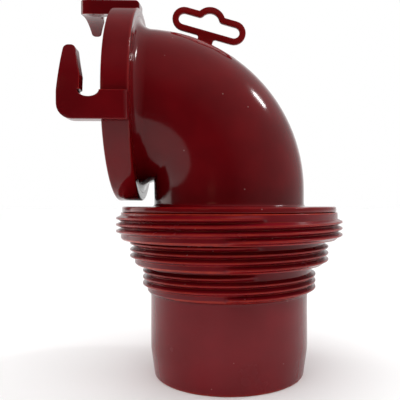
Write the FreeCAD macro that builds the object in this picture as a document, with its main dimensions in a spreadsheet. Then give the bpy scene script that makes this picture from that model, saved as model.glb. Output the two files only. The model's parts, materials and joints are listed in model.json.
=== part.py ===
import FreeCAD, Part
import math
import os
import re

import Sketcher

# A 90 degree sewer hose elbow for a motor home or caravan. A bayonet mouth with three hooks takes the
# drain valve or hose fitting, and a stepped threaded adapter screws or slips into the sewer inlet.
# The elbow swivels on the adapter, so that the mouth can face the hose once the threads are tight.
#
# Frame: origin on the vertical leg's axis at the foot of the slip end, +Z up, the mouth faces -X.

doc = FreeCAD.newDocument("sewer_hose_elbow")

# ---------------------------------------------------------------- driving dimensions, millimetres
SIZES = [
    ("tube_outer", 38.7, "outside radius of the leg and of the horizontal tube"),
    ("tube_bore", 35.3, "inside radius of the waterway"),
    ("bend", 43.3, "radius of the elbow's centre line"),
    ("mouth_height", 136.6, "height of the horizontal tube's axis"),
    ("mouth_reach", 56.8, "leg axis to the bayonet ring's front face"),
    ("ring_outer", 48.5, "outside radius of the bayonet ring"),
    ("ring_depth", 12.1, "axial thickness of the bayonet ring"),
    ("recess_outer", 45.0, "radius of the gasket recess in the ring's face"),
    ("recess_depth", 5.0, "depth of the gasket recess"),
    ("gasket_thick", 4.0, "thickness of the face gasket at its sealing lip"),
    ("gasket_flat", 3.0, "thickness of the face gasket outside the lip"),
    ("gasket_bore", 35.9, "inside radius of the face gasket"),
    ("gasket_gap", 0.1, "radial gap between the gasket and its recess"),
    ("lip_lean", 1.6, "how far the sealing lip leans outwards"),
    ("lip_crest", 1.2, "width of the sealing lip's crest"),
    ("lip_back", 1.0, "radial run of the sealing lip's outer slope"),
    ("ring_round", 1.6, "radius of the ring's rounded back edge"),
    ("ring_edge", 0.9, "chamfer on the ring's front edge"),
    ("flare_outer", 44.4, "outside radius of the tube's flared end, which sits in the ring's back"),
    ("flare_step", 1.6, "height of the flare above the tube where it begins"),
    ("flare_seat", 2.0, "depth of the flared end's seat in the ring's back"),
    ("flare_length", 1.2, "length of the flare behind the ring"),
    ("bond_gap", 0.05, "glue gap between bonded pieces"),
    ("hook_outer", 52.0, "outside radius of the hooks"),
    ("hook_inner", 46.6, "inside radius of the hooks"),
    ("hook_spare", 4.0, "height above the hooks at which their blanks are drawn, before they are turned"),
    ("hook_reach", 16.8, "how far a hook stands out past the ring's face"),
    ("hook_half", 14.3, "mouth's axis to the outer side of a hook's arm"),
    ("hook_corner", 4.7, "radius of a hook's outer corner"),
    ("arm_width", 11.4, "width of a hook's arm round the circumference"),
    ("finger_root", 9.6, "axial width of a hook's finger where it leaves the arm"),
    ("finger_catch", 5.8, "length of the finger's straight inner side above the arm"),
    ("finger_tip", 4.6, "axial width of the finger's tip"),
    ("finger_lean", 1.9, "how far the finger's outer side leans in at its tip"),
    ("finger_top", 17.1, "mouth's axis to the end of a hook's finger"),
    ("notch_reach", 4.2, "ring's face to the middle of the notch at the foot of the hook's slot"),
    ("notch_half", 3.9, "half of the notch's width"),
    ("notch_depth", 3.2, "depth of the notch"),
    ("rim_outer", 54.8, "outside radius of the elbow's rim disc"),
    ("rim_top", 85.1, "height of the rim disc's upper face"),
    ("rim_under", 82.6, "height of the rim disc's lower face"),
    ("rim_overlap", 1.0, "how far the tube's wall is sunk in the rim disc"),
    ("rim_fillet", 1.5, "fillet between the leg and the rim disc"),
    ("rim_under_edge", 0.4, "chamfer on the rim disc's lower edge"),
    ("rim_top_edge", 0.6, "chamfer on the rim disc's upper edge"),
    ("lip_drop", 2.4, "depth of the locating lip under the rim disc"),
    ("lip_thick", 2.0, "thickness of the locating lip"),
    ("lip_clearance", 0.35, "radial gap round the locating lip"),
    ("spigot_foot", 46.4, "height of the spigot's lower end"),
    ("spigot_bore", 34.8, "inside radius of the spigot"),
    ("shoulder", 41.0, "outside radius of the thrust shoulder on the spigot"),
    ("hub_bore", 38.46, "bore of the hub that the spigot turns in"),
    ("hub_thick", 3.0, "thickness of the hub and of the adapter's two shelves"),
    ("play", 0.08, "axial running clearance of the swivel"),
    ("seal_groove", 36.5, "radius of the seal groove's floor"),
    ("seal_wire", 2.6, "thickness of the seal ring's section"),
    ("seal_height", 50.4, "height of the seal ring's centre"),
    ("groove_slack", 1.2, "width of the seal groove in thicknesses of the seal"),
    ("guide_bore", 39.2, "bore of the adapter round the seal"),
    ("retainer_outer", 42.6, "outside radius of the retaining ring"),
    ("retainer_groove", 36.9, "radius of the retaining ring groove's floor"),
    ("retainer_thick", 2.0, "thickness of the retaining ring"),
    ("retainer_chamfer", 0.8, "lead-in chamfer on the retaining ring"),
    ("retainer_angle", 338, "degrees of the circle that the split retaining ring covers"),
    ("thread_pitch", 3.175, "thread pitch, eight turns to the inch"),
    ("thread_turns", 3.08, "turns in each thread"),
    ("thread_depth", 2.4, "height of a thread above its root"),
    ("thread_base", 2.9, "axial width of a thread at its root"),
    ("thread_crest", 0.55, "axial width of a thread's crest"),
    ("thread_start", 1.8, "height of a thread's first turn above its section's lower edge"),
    ("thread_embed", 0.5, "how far a thread is sunk in its wall"),
    ("edge_break", 0.5, "small chamfer on moulded edges"),
    ("large_root", 55.4, "root radius of the 4 inch section"),
    ("middle_root", 48.5, "root radius of the 3.5 inch section"),
    ("small_root", 42.1, "root radius of the 3 inch section"),
    ("large_bore", 51.6, "inside radius of the 4 inch section"),
    ("middle_bore", 45.0, "inside radius of the 3.5 inch section"),
    ("adapter_top", 82.2, "height of the adapter's upper edge"),
    ("large_foot", 68.7, "height of the 4 inch section's lower edge"),
    ("middle_foot", 56.3, "height of the 3.5 inch section's lower edge"),
    ("small_foot", 42.2, "height of the 3 inch section's lower edge"),
    ("step_chamfer", 0.8, "chamfer on each section's lower edge"),
    ("slip_outer", 40.3, "outside radius of the slip end"),
    ("slip_bore", 36.4, "inside radius of the slip end"),
    ("slip_tip", 38.3, "outside radius at the foot of the slip end's taper"),
    ("slip_taper", 14.0, "height of the slip end's taper"),
    ("tab_thick", 2.2, "thickness of the hang tab"),
    ("tab_bar", 2.6, "width of the bar round the hang tab's hole"),
    ("tab_half", 19.3, "half of the hang tab's length"),
    ("tab_end", 6.0, "radius of the hang tab's round ends"),
    ("tab_hump", 7.9, "radius of the hump in the middle of the hang tab"),
    ("tab_hump_rise", 2.0, "height of the hump's centre above the ends' centres"),
    ("tab_across", -12.9, "place of the tab's stem along the mouth's axis"),
    ("tab_height", 174.2, "height of the tab's bar at its stem"),
    ("tab_tilt", 15.3, "degrees that the hang tab leans down towards the back of the bend"),
    ("stem_half", 4.2, "half of the width of the tab's stem"),
    ("stem_flare", 1.3, "width and height of the stem's splay where it meets the bar"),
    ("stem_drop", 5.6, "how far the stem reaches down from the tab's bar into its base plate"),
    ("disc_outer", 21.5, "radius of the round base plate that the hang tab stands on"),
    ("disc_thick", 1.6, "thickness of the base plate, and depth of its seat in the elbow's wall"),
    ("disc_sag", 10.0, "depth below the plate's crown that holds the whole of its curved edge"),
    ("disc_angle", 68.5, "degrees round the bend, from the horizontal, to the base plate's centre"),
]

sizes = doc.addObject("Spreadsheet::Sheet", "Sizes")
for line, (word, number, meaning) in enumerate(SIZES, start=1):
    sizes.set("A%d" % line, word)
    sizes.set("B%d" % line, str(number))
    sizes.set("C%d" % line, meaning)
    sizes.setAlias("B%d" % line, word)
doc.recompute()

size_of = {word: number for word, number, _ in SIZES}
WORDS = re.compile(r"\b(%s)\b" % "|".join(word for word, _, _ in SIZES))


def bind(item, field, formula):
    """Tie one property to a formula in the sheet's words."""
    item.setExpression(field, WORDS.sub(r"Sizes.\1", formula))


# ---------------------------------------------------------------- helpers for bodies and sketches
# A sketch is drawn roughly, at these sizes, and its dimensions then pull it to the sheet's.
ROUGH_RADIUS = 40.0
ROUGH_END = FreeCAD.Vector(13, 6, 0)
ROUGH_END_RADIUS = 5.0


def new_body(name):
    body = doc.addObject("PartDesign::Body", name)
    body.Label = name
    return body


def new_sketch(body, name, role):
    """A sketch on one of the body's own origin planes."""
    sketch = body.newObject("Sketcher::SketchObject", name)
    plane = [item for item in body.Origin.OriginFeatures if item.Role == role][0]
    sketch.AttachmentSupport = [(plane, "")]
    sketch.MapMode = "FlatFace"
    return sketch


def dimension(sketch, kind, where, formula, start):
    """Add a dimension and tie it to the sheet. where is the geometry and point that it holds."""
    number = sketch.addConstraint(Sketcher.Constraint(kind, *where, start))
    bind(sketch, "Constraints[%d]" % number, formula)


def pin(sketch, edge, point, across, up, near):
    """Hold one point of an edge at a place given by two formulas. near is where it starts."""
    dimension(sketch, "DistanceX", (-1, 1, edge, point), across, near.x)
    dimension(sketch, "DistanceY", (-1, 1, edge, point), up, near.y)


def round_corner(across, up, half_width, height, first, last):
    """Five outline corners on a quarter or half of an ellipse, from its centre, in degrees."""
    angles = [math.radians(first + (last - first) * step / 4) for step in range(5)]
    return [("%s + (%s) * %.4f" % (across, half_width, math.cos(angle)),
             "%s + (%s) * %.4f" % (up, height, math.sin(angle))) for angle in angles]


def draw_outline(sketch, corners):
    """A closed outline of straight lines. Each corner is a pair of formulas."""
    count = len(corners)
    ring = [FreeCAD.Vector(math.cos(turn), math.sin(turn), 0) * ROUGH_RADIUS
            for turn in (-2 * math.pi * step / count for step in range(count))]
    edges = []
    for step in range(count):
        edges.append(sketch.addGeometry(Part.LineSegment(ring[step], ring[(step + 1) % count]), False))
    for step in range(count):
        sketch.addConstraint(Sketcher.Constraint("Coincident", edges[step], 2, edges[(step + 1) % count], 1))
    for step, (across, up) in enumerate(corners):
        pin(sketch, edges[step], 1, across, up, ring[step])


def draw_circle(sketch, radius, across="0", up="0"):
    start = FreeCAD.Vector(0, 0, 0)
    edge = sketch.addGeometry(Part.Circle(start, FreeCAD.Vector(0, 0, 1), ROUGH_RADIUS), False)
    dimension(sketch, "Radius", (edge,), radius, ROUGH_RADIUS)
    pin(sketch, edge, 3, across, up, start)


def draw_slot(sketch, half_length, radius, up):
    """A round-ended slot, lying along the sketch's horizontal axis."""
    normal = FreeCAD.Vector(0, 0, 1)
    right_end = ROUGH_END
    left_end = FreeCAD.Vector(-ROUGH_END.x, ROUGH_END.y, 0)
    reach = FreeCAD.Vector(0, ROUGH_END_RADIUS, 0)
    quarter = math.pi / 2
    right = sketch.addGeometry(Part.ArcOfCircle(
        Part.Circle(right_end, normal, ROUGH_END_RADIUS), -quarter, quarter), False)
    left = sketch.addGeometry(Part.ArcOfCircle(
        Part.Circle(left_end, normal, ROUGH_END_RADIUS), quarter, 3 * quarter), False)
    top = sketch.addGeometry(Part.LineSegment(right_end + reach, left_end + reach), False)
    base = sketch.addGeometry(Part.LineSegment(left_end - reach, right_end - reach), False)
    sketch.addConstraint(Sketcher.Constraint("Horizontal", top))
    sketch.addConstraint(Sketcher.Constraint("Horizontal", base))
    for one, other in ((right, top), (top, left), (left, base), (base, right)):
        sketch.addConstraint(Sketcher.Constraint("Tangent", one, 2, other, 1))
    end_reach = "(%s - (%s))" % (half_length, radius)
    pin(sketch, right, 3, end_reach, up, right_end)
    dimension(sketch, "DistanceX", (-1, 1, left, 3), "-" + end_reach, left_end.x)
    dimension(sketch, "Radius", (right,), radius, ROUGH_END_RADIUS)


def add_feature(body, kind, name, sketch):
    feature = body.newObject("PartDesign::" + kind, name)
    feature.Profile = (sketch, [""])
    sketch.Visibility = False
    return feature


def through(body, kind, name, sketch, thickness):
    """A Pad or a Pocket that lies evenly on both sides of its sketch."""
    feature = add_feature(body, kind, name, sketch)
    feature.SideType = "Symmetric"
    bind(feature, "Length", "(%s) * 1mm" % thickness)
    return feature


def turn(body, kind, name, sketch, axis):
    """A Revolution or a Groove about one axis of its own sketch."""
    feature = add_feature(body, kind, name, sketch)
    feature.ReferenceAxis = (sketch, [axis])
    feature.Angle = 360
    return feature


# ---------------------------------------------------------------- threaded adapter
# One moulding: the slip end and three threaded sections, each wider than the one below it. The shelf
# under the widest section reaches inward as the hub that the elbow turns in.
def thread(body, name, root, foot):
    """One right-hand helical thread that starts at the front, just above its section's foot."""
    sketch = new_sketch(body, name + "_profile", "YZ_Plane")
    middle = "%s + thread_start" % foot
    embed = "-(%s - thread_embed)" % root
    crest = "-(%s + thread_depth)" % root
    draw_outline(sketch, [
        (embed, middle + " - thread_base / 2"),
        ("-" + root, middle + " - thread_base / 2"),
        (crest, middle + " - thread_crest / 2"),
        (crest, middle + " + thread_crest / 2"),
        ("-" + root, middle + " + thread_base / 2"),
        (embed, middle + " + thread_base / 2"),
    ])
    helix = add_feature(body, "AdditiveHelix", name, sketch)
    helix.ReferenceAxis = (sketch, ["V_Axis"])
    helix.Mode = "pitch-turns-angle"
    bind(helix, "Pitch", "thread_pitch * 1mm")
    bind(helix, "Turns", "thread_turns")


adapter = new_body("threaded_adapter")
wall = new_sketch(adapter, "adapter_wall", "XZ_Plane")
draw_outline(wall, [
    ("slip_bore", "0"),
    ("slip_tip - edge_break", "0"),
    ("slip_tip", "edge_break"),
    ("slip_outer", "slip_taper"),
    ("slip_outer", "small_foot"),
    ("small_root - step_chamfer", "small_foot"),
    ("small_root", "small_foot + step_chamfer"),
    ("small_root", "middle_foot"),
    ("middle_root - step_chamfer", "middle_foot"),
    ("middle_root", "middle_foot + step_chamfer"),
    ("middle_root", "large_foot"),
    ("large_root - step_chamfer", "large_foot"),
    ("large_root", "large_foot + step_chamfer"),
    ("large_root", "adapter_top - edge_break"),
    ("large_root - edge_break", "adapter_top"),
    ("large_bore", "adapter_top"),
    ("large_bore", "large_foot + hub_thick"),
    ("hub_bore", "large_foot + hub_thick"),
    ("hub_bore", "large_foot"),
    ("middle_bore", "large_foot"),
    ("middle_bore", "middle_foot + hub_thick"),
    ("guide_bore", "middle_foot + hub_thick"),
    ("guide_bore", "small_foot + hub_thick"),
    ("slip_bore", "small_foot + hub_thick"),
])
turn(adapter, "Revolution", "adapter_shell", wall, "V_Axis")
thread(adapter, "small_thread", "small_root", "small_foot")
thread(adapter, "middle_thread", "middle_root", "middle_foot")
thread(adapter, "large_thread", "large_root", "large_foot")

# ---------------------------------------------------------------- elbow
# The rim disc, its locating lip, the thrust shoulder and the grooved spigot are turned shapes. The
# tube is one pipe swept up the leg, round the bend and out to the mouth.
pipe = new_body("elbow_pipe")
lower = new_sketch(pipe, "spigot_and_rim", "XZ_Plane")
spigot = "(hub_bore - play)"
groove_foot = "seal_height - seal_wire * groove_slack / 2"
groove_top = "seal_height + seal_wire * groove_slack / 2"
retainer_foot = "large_foot - 2 * play - retainer_thick"
lip_outer = "(large_bore - lip_clearance)"
draw_outline(lower, [
    ("spigot_bore", "spigot_foot"),
    (spigot + " - edge_break", "spigot_foot"),
    (spigot, "spigot_foot + edge_break"),
    (spigot, groove_foot),
    ("seal_groove", groove_foot),
    ("seal_groove", groove_top),
    (spigot, groove_top),
    (spigot, retainer_foot),
    ("retainer_groove", retainer_foot),
    ("retainer_groove", "large_foot"),
    (spigot, "large_foot"),
    (spigot, "large_foot + hub_thick + play"),
    ("shoulder", "large_foot + hub_thick + play"),
    ("shoulder", "rim_under"),
    (lip_outer + " - lip_thick", "rim_under"),
    (lip_outer + " - lip_thick", "rim_under - lip_drop"),
    (lip_outer, "rim_under - lip_drop"),
    (lip_outer, "rim_under"),
    ("rim_outer - rim_under_edge", "rim_under"),
    ("rim_outer", "rim_under + rim_under_edge"),
    ("rim_outer", "rim_top - rim_top_edge"),
    ("rim_outer - rim_top_edge", "rim_top"),
    ("spigot_bore", "rim_top"),
])
turn(pipe, "Revolution", "elbow_foot", lower, "V_Axis")


PIPE_FOOT = "(rim_top - rim_overlap)"


def pipe_path(body, name):
    """From inside the rim disc up the leg's axis, round the bend and out along the mouth's axis."""
    path = new_sketch(body, name, "XZ_Plane")
    foot = FreeCAD.Vector(0, 80, 0)
    bend_start = FreeCAD.Vector(0, 90, 0)
    centre = bend_start - FreeCAD.Vector(ROUGH_RADIUS, 0, 0)
    bend_end = centre + FreeCAD.Vector(0, ROUGH_RADIUS, 0)
    mouth = bend_end - FreeCAD.Vector(10, 0, 0)
    leg = path.addGeometry(Part.LineSegment(foot, bend_start), False)
    arc = path.addGeometry(Part.ArcOfCircle(
        Part.Circle(centre, FreeCAD.Vector(0, 0, 1), ROUGH_RADIUS), 0, math.pi / 2), False)
    reach = path.addGeometry(Part.LineSegment(bend_end, mouth), False)
    path.addConstraint(Sketcher.Constraint("Vertical", leg))
    path.addConstraint(Sketcher.Constraint("Horizontal", reach))
    path.addConstraint(Sketcher.Constraint("Tangent", leg, 2, arc, 1))
    path.addConstraint(Sketcher.Constraint("Tangent", arc, 2, reach, 1))
    pin(path, leg, 1, "0", PIPE_FOOT, foot)
    pin(path, reach, 2, "-(mouth_reach - recess_depth)", "mouth_height", mouth)
    dimension(path, "Radius", (arc,), "bend", ROUGH_RADIUS)
    return path


def swept_pipe(body, kind, name, radius):
    """Sweep a circle along the pipe's path, to add its wall or to cut its waterway."""
    section = new_sketch(body, name + "_section", "XY_Plane")
    bind(section, "AttachmentOffset.Base.z", "(%s) * 1mm" % PIPE_FOOT)
    draw_circle(section, radius)
    path = pipe_path(body, name + "_path")
    sweep = add_feature(body, kind, name, section)
    sweep.Spine = (path, [])
    path.Visibility = False


swept_pipe(pipe, "AdditivePipe", "tube_wall", "tube_outer")
flare = new_sketch(pipe, "flare_outline", "XZ_Plane")
bind(flare, "AttachmentOffset.Base.y", "mouth_height * 1mm")
ring_back = "-(mouth_reach - ring_depth)"
inside_wall = "(tube_outer + tube_bore) / 2"
draw_outline(flare, [
    (ring_back + " + flare_length", inside_wall),
    (ring_back + " + flare_length", "tube_outer + flare_step"),
    (ring_back, "flare_outer"),
    (ring_back + " - flare_seat", "flare_outer"),
    (ring_back + " - flare_seat", inside_wall),
])
turn(pipe, "Revolution", "flare", flare, "H_Axis")
swept_pipe(pipe, "SubtractivePipe", "waterway", "tube_bore")
doc.recompute()


TOUCH = 0.05


def meets_rim(edge):
    """The circle where the leg stands on the rim disc."""
    box = edge.BoundBox
    flat = abs(box.ZMin - size_of["rim_top"]) < TOUCH and box.ZLength < TOUCH
    return flat and abs(box.XMax - size_of["tube_outer"]) < TOUCH


rim_edges = ["Edge%d" % count for count, edge in enumerate(pipe.Shape.Edges, start=1) if meets_rim(edge)]
if len(rim_edges) != 1:
    raise RuntimeError("the leg's edge on the rim disc was not found")
whole_pipe = pipe.Tip
foot_fillet = pipe.newObject("PartDesign::Fillet", "rim_fillet")
foot_fillet.Base = (whole_pipe, rim_edges)
bind(foot_fillet, "Radius", "rim_fillet * 1mm")

# ---------------------------------------------------------------- round seat on the bend
# The hang tab's base plate follows the bend and lies flush in a round seat. Both are cut from the same
# tori, so that the plate is as curved as the wall round it.
def bend_torus(name, radius):
    torus = doc.addObject("Part::Torus", name)
    torus.Placement = FreeCAD.Placement(FreeCAD.Vector(), FreeCAD.Rotation(FreeCAD.Vector(1, 0, 0), 90))
    bind(torus, "Radius1", "bend * 1mm")
    bind(torus, "Radius2", "(%s) * 1mm" % radius)
    bind(torus, "Placement.Base.x", "-bend * 1mm")
    bind(torus, "Placement.Base.z", "(mouth_height - bend) * 1mm")
    return torus


def round_prism(name, radius):
    """A cylinder that stands square to the bend at the base plate's centre, through its wall."""
    prism = doc.addObject("Part::Cylinder", name)
    prism.Placement = FreeCAD.Placement(FreeCAD.Vector(), FreeCAD.Rotation(FreeCAD.Vector(0, 1, 0), 20))
    bind(prism, "Radius", "(%s) * 1mm" % radius)
    bind(prism, "Height", "1.5 * disc_sag * 1mm")
    foot = "(bend + tube_outer - disc_sag)"
    bind(prism, "Placement.Base.x", "(-bend + %s * cos(disc_angle * 1deg)) * 1mm" % foot)
    bind(prism, "Placement.Base.z", "(mouth_height - bend + %s * sin(disc_angle * 1deg)) * 1mm" % foot)
    bind(prism, "Placement.Rotation.Angle", "(90 - disc_angle) * 1deg")
    return prism


def combine(kind, name, base, tool):
    result = doc.addObject("Part::" + kind, name)
    result.Base = base
    result.Tool = tool
    return result


seat_floor = bend_torus("seat_floor", "tube_outer - disc_thick")
seat_tool = combine("Cut", "seat_tool", round_prism("seat_prism", "disc_outer + bond_gap"), seat_floor)
elbow = combine("Cut", "elbow", pipe, seat_tool)

plate_blank = combine("Common", "plate_blank", round_prism("plate_prism", "disc_outer"),
                      bend_torus("plate_top", "tube_outer"))
plate = combine("Cut", "base_plate", plate_blank,
                bend_torus("plate_underside", "tube_outer - disc_thick + bond_gap"))

# ---------------------------------------------------------------- hang tab
# A flat loop with the usual shop hook hole, standing on the base plate.
tab = new_body("tab_blade")


def tab_sketch(name):
    """A sketch in the elbow's plane of symmetry, set on the tab's bar and leaning with it."""
    sketch = new_sketch(tab, name, "XZ_Plane")
    sketch.AttachmentOffset = FreeCAD.Placement(
        FreeCAD.Vector(0, 0, 0), FreeCAD.Rotation(FreeCAD.Vector(0, 0, -1), 10))
    bind(sketch, "AttachmentOffset.Base.x", "tab_across * 1mm")
    bind(sketch, "AttachmentOffset.Base.y", "tab_height * 1mm")
    bind(sketch, "AttachmentOffset.Rotation.Angle", "tab_tilt * 1deg")
    return sketch


hump_centre = "tab_end + tab_hump_rise"
loop = tab_sketch("loop_outline")
draw_slot(loop, "tab_half", "tab_end", "tab_end")
through(tab, "Pad", "tab_loop", loop, "tab_thick")
hump = tab_sketch("hump_outline")
draw_circle(hump, "tab_hump", "0", hump_centre)
through(tab, "Pad", "tab_hump_pad", hump, "tab_thick")
hole = tab_sketch("hole_outline")
draw_slot(hole, "tab_half - tab_bar", "tab_end - tab_bar", "tab_end")
through(tab, "Pocket", "tab_hole", hole, "2 * tab_thick")
hump_hole = tab_sketch("hump_hole_outline")
draw_circle(hump_hole, "tab_hump - tab_bar", "0", hump_centre)
through(tab, "Pocket", "tab_hump_hole", hump_hole, "2 * tab_thick")
stem = tab_sketch("stem_outline")
draw_outline(stem, [
    ("-stem_half", "-stem_drop"),
    ("-stem_half", "-stem_flare"),
    ("-stem_half - stem_flare", "tab_bar / 3"),
    ("stem_half + stem_flare", "tab_bar / 3"),
    ("stem_half", "-stem_flare"),
    ("stem_half", "-stem_drop"),
])
through(tab, "Pad", "tab_stem", stem, "tab_thick")
hang_tab = combine("Fuse", "hang_tab", plate, tab)

# ---------------------------------------------------------------- bayonet ring
# The ring is bonded on the end of the tube. Its own frame has the mouth's axis as X, so that the
# three hooks are one hook turned about it. The lowest place has no hook: the rim disc is close by.
ring = new_body("bayonet_ring")
bind(ring, "Placement.Base.z", "mouth_height * 1mm")

hook = new_sketch(ring, "hook_outline", "XZ_Plane")
hook_end = "-(mouth_reach + hook_reach)"
arm_top = "(arm_width - hook_half)"
finger_outer = hook_end + " + finger_lean"
draw_outline(
    hook,
    [(ring_back, "-hook_half")]
    + round_corner(hook_end + " + hook_corner", "-hook_half + hook_corner",
                   "hook_corner", "hook_corner", 270, 180)
    + [(hook_end, arm_top)]
    + round_corner(finger_outer + " + finger_tip / 2", "finger_top - finger_tip / 2",
                   "finger_tip / 2", "finger_tip / 2", 180, 0)
    + [(hook_end + " + finger_root", arm_top + " + finger_catch")]
    + round_corner("-(mouth_reach + notch_reach)", arm_top, "notch_half", "notch_depth", 180, 360)
    + [(ring_back, arm_top)])
hook_pad = add_feature(ring, "Pad", "hook", hook)
bind(hook_pad, "Length", "(hook_outer + hook_spare) * 1mm")
doc.recompute()

hooks = ring.newObject("PartDesign::PolarPattern", "three_hooks")
hooks.Originals = [hook_pad]
axis = [item for item in ring.Origin.OriginFeatures if item.Role == "X_Axis"][0]
hooks.Axis = (axis, [""])
hooks.Angle = 180
hooks.Occurrences = 3
hooks.Reversed = True
ring.Tip = hooks


def trim(name, low, high):
    """Turn away everything between two radii about the mouth's axis."""
    sketch = new_sketch(ring, name + "_outline", "XZ_Plane")
    inner_end = "-(mouth_reach - ring_depth - hook_spare)"
    outer_end = "-(mouth_reach + hook_reach + hook_spare)"
    draw_outline(sketch, [(inner_end, low), (inner_end, high), (outer_end, high), (outer_end, low)])
    turn(ring, "Groove", name, sketch, "H_Axis")


trim("hook_tops", "hook_outer", "hook_outer + 3 * hook_spare")
trim("hook_undersides", "0", "hook_inner")
rim = new_sketch(ring, "ring_outline", "XZ_Plane")
seat_floor_line = ring_back + " - flare_seat - bond_gap"
draw_outline(
    rim,
    [(ring_back, "flare_outer + bond_gap")]
    + round_corner(ring_back + " - ring_round", "ring_outer - ring_round", "ring_round", "ring_round", 0, 90)
    + [
        ("-mouth_reach + ring_edge", "ring_outer"),
        ("-mouth_reach", "ring_outer - ring_edge"),
        ("-mouth_reach", "recess_outer"),
        ("-mouth_reach + recess_depth", "recess_outer"),
        ("-mouth_reach + recess_depth", "tube_outer + bond_gap"),
        (seat_floor_line, "tube_outer + bond_gap"),
        (seat_floor_line, "flare_outer + bond_gap"),
    ])
turn(ring, "Revolution", "ring_body", rim, "H_Axis")

# ---------------------------------------------------------------- face gasket
gasket = new_body("bayonet_gasket")
bind(gasket, "Placement.Base.z", "mouth_height * 1mm")
face = new_sketch(gasket, "gasket_outline", "XZ_Plane")
seat = "-(mouth_reach - recess_depth + bond_gap)"
draw_outline(face, [
    (seat, "gasket_bore"),
    (seat + " - gasket_thick", "gasket_bore + lip_lean"),
    (seat + " - gasket_thick", "gasket_bore + lip_lean + lip_crest"),
    (seat + " - gasket_flat", "gasket_bore + lip_lean + lip_crest + lip_back"),
    (seat + " - gasket_flat", "recess_outer - gasket_gap"),
    (seat, "recess_outer - gasket_gap"),
])
turn(gasket, "Revolution", "gasket", face, "H_Axis")

# ---------------------------------------------------------------- swivel seal and retaining ring
seal = doc.addObject("Part::Torus", "swivel_seal")
seal.Label = "swivel_seal"
bind(seal, "Radius1", "(seal_groove + seal_wire / 2) * 1mm")
bind(seal, "Radius2", "seal_wire / 2 * 1mm")
bind(seal, "Placement.Base.z", "seal_height * 1mm")

retainer = new_body("retaining_ring")
band = new_sketch(retainer, "retainer_outline", "XZ_Plane")
draw_outline(band, [
    ("retainer_groove + bond_gap", "large_foot - play - retainer_thick"),
    ("retainer_outer - retainer_chamfer", "large_foot - play - retainer_thick"),
    ("retainer_outer", "large_foot - play - retainer_thick + retainer_chamfer"),
    ("retainer_outer", "large_foot - play"),
    ("retainer_groove + bond_gap", "large_foot - play"),
])
split_ring = turn(retainer, "Revolution", "split_ring", band, "V_Axis")
bind(split_ring, "Angle", "retainer_angle * 1deg")

# ---------------------------------------------------------------- checks and export
doc.recompute()
PARTS = [adapter, elbow, hang_tab, ring, gasket, seal, retainer]
for item in doc.Objects:
    if "Invalid" in item.State or "Error" in item.State:
        raise RuntimeError("failed: %s %s" % (item.Name, item.State))
for piece in PARTS:
    shape = piece.Shape
    if shape.isNull() or not shape.isValid() or len(shape.Solids) != 1:
        raise RuntimeError("bad shape: " + piece.Label)

os.makedirs("parts", exist_ok=True)
for piece in PARTS:
    shape = piece.Shape
    box = shape.optimalBoundingBox()
    print("%-18s %9.0f mm3  X %.1f..%.1f  Y %.1f..%.1f  Z %.1f..%.1f" % (
        piece.Label, shape.Volume, box.XMin, box.XMax, box.YMin, box.YMax, box.ZMin, box.ZMax))
    shape.exportStep("parts/%s.step" % piece.Label)
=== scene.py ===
# %% [markdown]
# # A sewer hose elbow in moulded plastic
#
# This lesson builds the looks of a motor home's sewer elbow around a finished engineering model. The
# real fitting is a few injection mouldings: a stepped adapter with three threads, a bent pipe with a rim
# disc, a bayonet ring with hooks, a hang tab and a rubber gasket. The engineering model fixes the main
# sizes, so we load it first and build each visible moulding on top of it.

# %% Load the engineering model
import json
import math

import bmesh
import bpy
import numpy as np
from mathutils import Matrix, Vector


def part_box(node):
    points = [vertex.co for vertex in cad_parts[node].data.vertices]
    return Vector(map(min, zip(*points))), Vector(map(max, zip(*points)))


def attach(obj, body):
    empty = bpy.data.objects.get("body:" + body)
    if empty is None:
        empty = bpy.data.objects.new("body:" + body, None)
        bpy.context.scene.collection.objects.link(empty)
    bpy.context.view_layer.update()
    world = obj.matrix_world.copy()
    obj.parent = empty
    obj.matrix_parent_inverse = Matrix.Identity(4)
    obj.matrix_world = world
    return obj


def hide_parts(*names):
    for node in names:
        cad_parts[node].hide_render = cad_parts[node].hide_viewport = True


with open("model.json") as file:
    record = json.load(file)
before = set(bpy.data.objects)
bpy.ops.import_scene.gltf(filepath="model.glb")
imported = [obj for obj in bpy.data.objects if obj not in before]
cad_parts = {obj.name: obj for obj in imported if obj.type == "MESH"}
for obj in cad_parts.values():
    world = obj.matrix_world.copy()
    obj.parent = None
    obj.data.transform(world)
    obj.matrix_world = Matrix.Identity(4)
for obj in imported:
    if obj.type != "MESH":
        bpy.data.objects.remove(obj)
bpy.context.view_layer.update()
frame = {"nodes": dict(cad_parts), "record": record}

# %% [markdown]
# ## Read the sizes
#
# Everything that the engineering model can tell us is read from it: boxes of its parts and the mounts,
# which are the places where other fittings join. We think in millimetres and turn to metres only when a
# mesh is made. The leg's axis is Z, and the mouth of the pipe faces -X.

# %% Sizes from the model
MM = 0.001


def box_mm(node):
    low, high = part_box(node)
    return low / MM, high / MM


mounts = {mount["name"]: mount for mount in frame["record"]["mounts"]}
_, adapter_high = box_mm("threaded_adapter")
elbow_low, elbow_high = box_mm("elbow")
ring_low, ring_high = box_mm("bayonet_ring")
gasket_low, gasket_high = box_mm("bayonet_gasket")

HOOK_REACH = 0.9        # how far the hooks stand out past the model's
hook_outer = ring_high.y
hook_inner = 45.2
mouth_height = ring_high.z - hook_outer
ring_outer = mouth_height - ring_low.z
ring_back = ring_high.x
hook_end = ring_low.x - HOOK_REACH
ring_face = mounts["bayonet_mouth"]["pos_m"][0] / MM
rim_outer = elbow_high.x
flare_outer = elbow_high.z - mouth_height
print("mouth axis at %.1f mm, ring radius %.1f mm, hooks to %.1f mm" % (
    mouth_height, ring_outer, hook_outer))

# %% Sizes of the walls, which no box shows
tube_outer = 38.7
tube_bore = 35.3
bend = 43.3
bend_height = mouth_height - bend
thread_pitch = 3.175
COLUMNS = 240


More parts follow.
